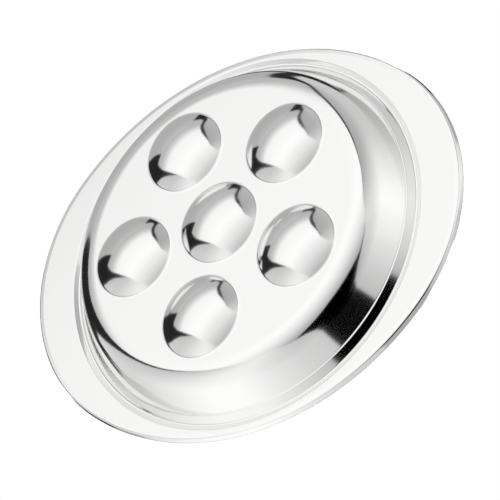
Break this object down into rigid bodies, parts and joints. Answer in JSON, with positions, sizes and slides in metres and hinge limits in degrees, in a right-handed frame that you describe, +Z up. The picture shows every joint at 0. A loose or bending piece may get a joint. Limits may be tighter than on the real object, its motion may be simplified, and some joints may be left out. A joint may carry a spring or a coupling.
{
  "type": "escargot plate",
  "caption": "Oval stainless steel escargot plate with a flat curled rim, a round dish and round hollows for the shells.",
  "frame": {"origin": "under the middle of the plate, level with the bottoms of the hollows, where it stands on the table", "axes": "+Z up, the way the hollows open; +X along the long axis of the oval rim"},
  "size_m": [0.2098, 0.1802, 0.0274],
  "materials": {
    "steel": "polished"
  },
  "bodies": {
    "root": {"plate": "steel"}
  },
  "joints": []
}
